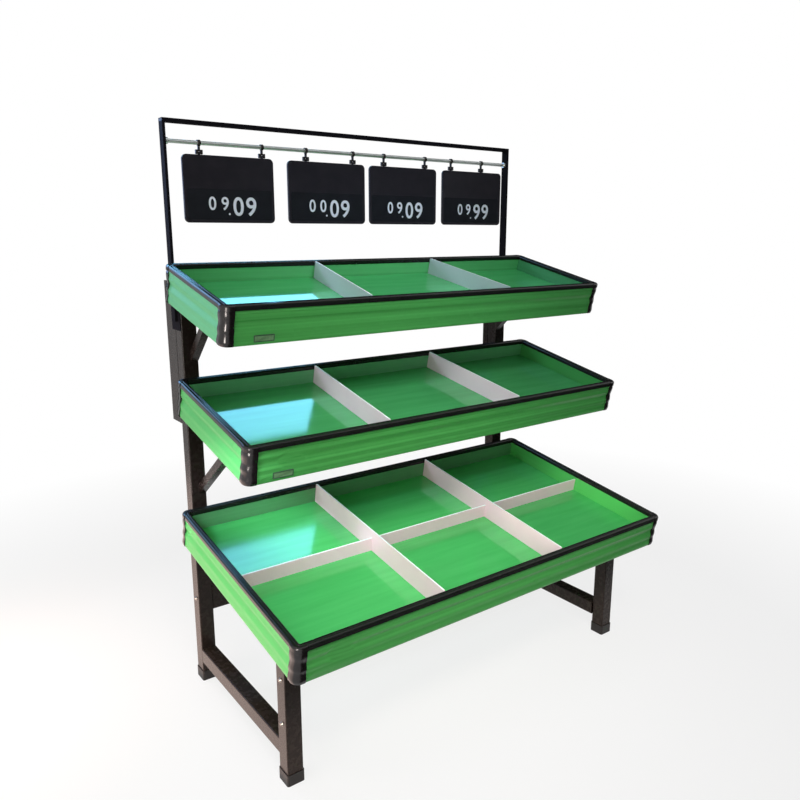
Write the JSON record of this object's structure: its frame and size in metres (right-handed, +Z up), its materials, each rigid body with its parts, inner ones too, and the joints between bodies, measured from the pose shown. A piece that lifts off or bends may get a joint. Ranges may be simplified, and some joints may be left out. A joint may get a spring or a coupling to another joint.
{
  "type": "gondola shelf",
  "caption": "Market-stall gondola shelf with sloping green produce trays, loose dividers, a steel post frame and price boards hung from an overhead rail.",
  "frame": {"origin": "on the floor, under the middle of the rack's bounding box", "axes": "+X to the rack's right seen from the front, +Y to the back, +Z up"},
  "size_m": [1.2, 0.7293, 1.4822],
  "materials": {
    "frame_paint": "satin",
    "sign_paint": "satin",
    "black_plastic": "matt",
    "bolt_steel": "dull",
    "rail_chrome": "polished",
    "green_floor": "glossy",
    "green_wall": "glossy",
    "rim_plastic": "semi-gloss",
    "divider_plastic": "satin",
    "board_plastic": "satin"
  },
  "bodies": {
    "rack": {"left_rear_post": "frame_paint", "right_rear_post": "frame_paint", "left_front_leg": "frame_paint", "right_front_leg": "frame_paint", "left_floor_stretcher": "frame_paint", "right_floor_stretcher": "frame_paint", "left_tray_rail": "frame_paint", "right_tray_rail": "frame_paint", "rear_cross_beam": "frame_paint", "front_cross_beam": "frame_paint", "back_angles": "frame_paint", "left_top_arm": "frame_paint", "right_top_arm": "frame_paint", "left_middle_arm": "frame_paint", "right_middle_arm": "frame_paint", "left_top_brace": "frame_paint", "right_top_brace": "frame_paint", "left_middle_brace": "frame_paint", "right_middle_brace": "frame_paint", "sign_plates": "sign_paint", "left_sign_post": "sign_paint", "right_sign_post": "sign_paint", "sign_top_bar": "sign_paint", "foot_sleeves": "black_plastic", "end_caps": "black_plastic", "frame_bolts": "bolt_steel", "price_rail": "rail_chrome", "top_tray_floor": "green_floor", "top_tray_front_wall": "green_wall", "top_tray_rear_wall": "green_wall", "top_tray_end_walls": "green_wall", "top_tray_rim_strips": "rim_plastic", "top_tray_corners": "rim_plastic", "middle_tray_floor": "green_floor", "middle_tray_front_wall": "green_wall", "middle_tray_rear_wall": "green_wall", "middle_tray_end_walls": "green_wall", "middle_tray_rim_strips": "rim_plastic", "middle_tray_corners": "rim_plastic", "bottom_tray_floor": "green_floor", "bottom_tray_front_wall": "green_wall", "bottom_tray_rear_wall": "green_wall", "bottom_tray_end_walls": "green_wall", "bottom_tray_rim_strips": "rim_plastic", "bottom_tray_corners": "rim_plastic"},
    "top_left_divider": {"top_tray_left_divider": "divider_plastic"},
    "top_right_divider": {"top_tray_right_divider": "divider_plastic"},
    "middle_left_divider": {"middle_tray_left_divider": "divider_plastic"},
    "middle_right_divider": {"middle_tray_right_divider": "divider_plastic"},
    "bottom_divider_grid": {"bottom_tray_left_divider": "divider_plastic", "bottom_tray_right_divider": "divider_plastic", "bottom_tray_cross_divider": "divider_plastic"},
    "first_clips": {"first_board_clips": "black_plastic"},
    "first_board": {"first_price_board": "board_plastic"},
    "second_clips": {"second_board_clips": "black_plastic"},
    "second_board": {"second_price_board": "board_plastic"},
    "third_clips": {"third_board_clips": "black_plastic"},
    "third_board": {"third_price_board": "board_plastic"},
    "fourth_clips": {"fourth_board_clips": "black_plastic"},
    "fourth_board": {"fourth_price_board": "board_plastic"}
  },
  "joints": [
    {"name": "top_left_divider_lift", "type": "slide", "parent": "rack", "child": "top_left_divider", "axis": [0, -0.2244, 0.9745], "range_m": [0, 0.06]},
    {"name": "top_right_divider_lift", "type": "slide", "parent": "rack", "child": "top_right_divider", "axis": [0, -0.2244, 0.9745], "range_m": [0, 0.06]},
    {"name": "middle_left_divider_lift", "type": "slide", "parent": "rack", "child": "middle_left_divider", "axis": [0, -0.2135, 0.9769], "range_m": [0, 0.06]},
    {"name": "middle_right_divider_lift", "type": "slide", "parent": "rack", "child": "middle_right_divider", "axis": [0, -0.2135, 0.9769], "range_m": [0, 0.06]},
    {"name": "bottom_divider_grid_lift", "type": "slide", "parent": "rack", "child": "bottom_divider_grid", "axis": [0, -0.1647, 0.9863], "range_m": [0, 0.06]},
    {"name": "first_clips_slide", "type": "slide", "parent": "rack", "child": "first_clips", "axis": [1, 0, 0], "range_m": [-0.035, 0.02]},
    {"name": "first_board_swing", "type": "hinge", "parent": "first_clips", "child": "first_board", "pos_m": [0, 0.2882, 1.408], "axis": [1, 0, 0], "range_deg": [-30, 30]},
    {"name": "second_clips_slide", "type": "slide", "parent": "rack", "child": "second_clips", "axis": [1, 0, 0], "range_m": [-0.02, 0.008]},
    {"name": "second_board_swing", "type": "hinge", "parent": "second_clips", "child": "second_board", "pos_m": [0, 0.2882, 1.408], "axis": [1, 0, 0], "range_deg": [-30, 30]},
    {"name": "third_clips_slide", "type": "slide", "parent": "rack", "child": "third_clips", "axis": [1, 0, 0], "range_m": [-0.008, 0.012]},
    {"name": "third_board_swing", "type": "hinge", "parent": "third_clips", "child": "third_board", "pos_m": [0, 0.2882, 1.408], "axis": [1, 0, 0], "range_deg": [-30, 30]},
    {"name": "fourth_clips_slide", "type": "slide", "parent": "rack", "child": "fourth_clips", "axis": [1, 0, 0], "range_m": [-0.012, 0.007]},
    {"name": "fourth_board_swing", "type": "hinge", "parent": "fourth_clips", "child": "fourth_board", "pos_m": [0, 0.2882, 1.408], "axis": [1, 0, 0], "range_deg": [-30, 30]}
  ]
}
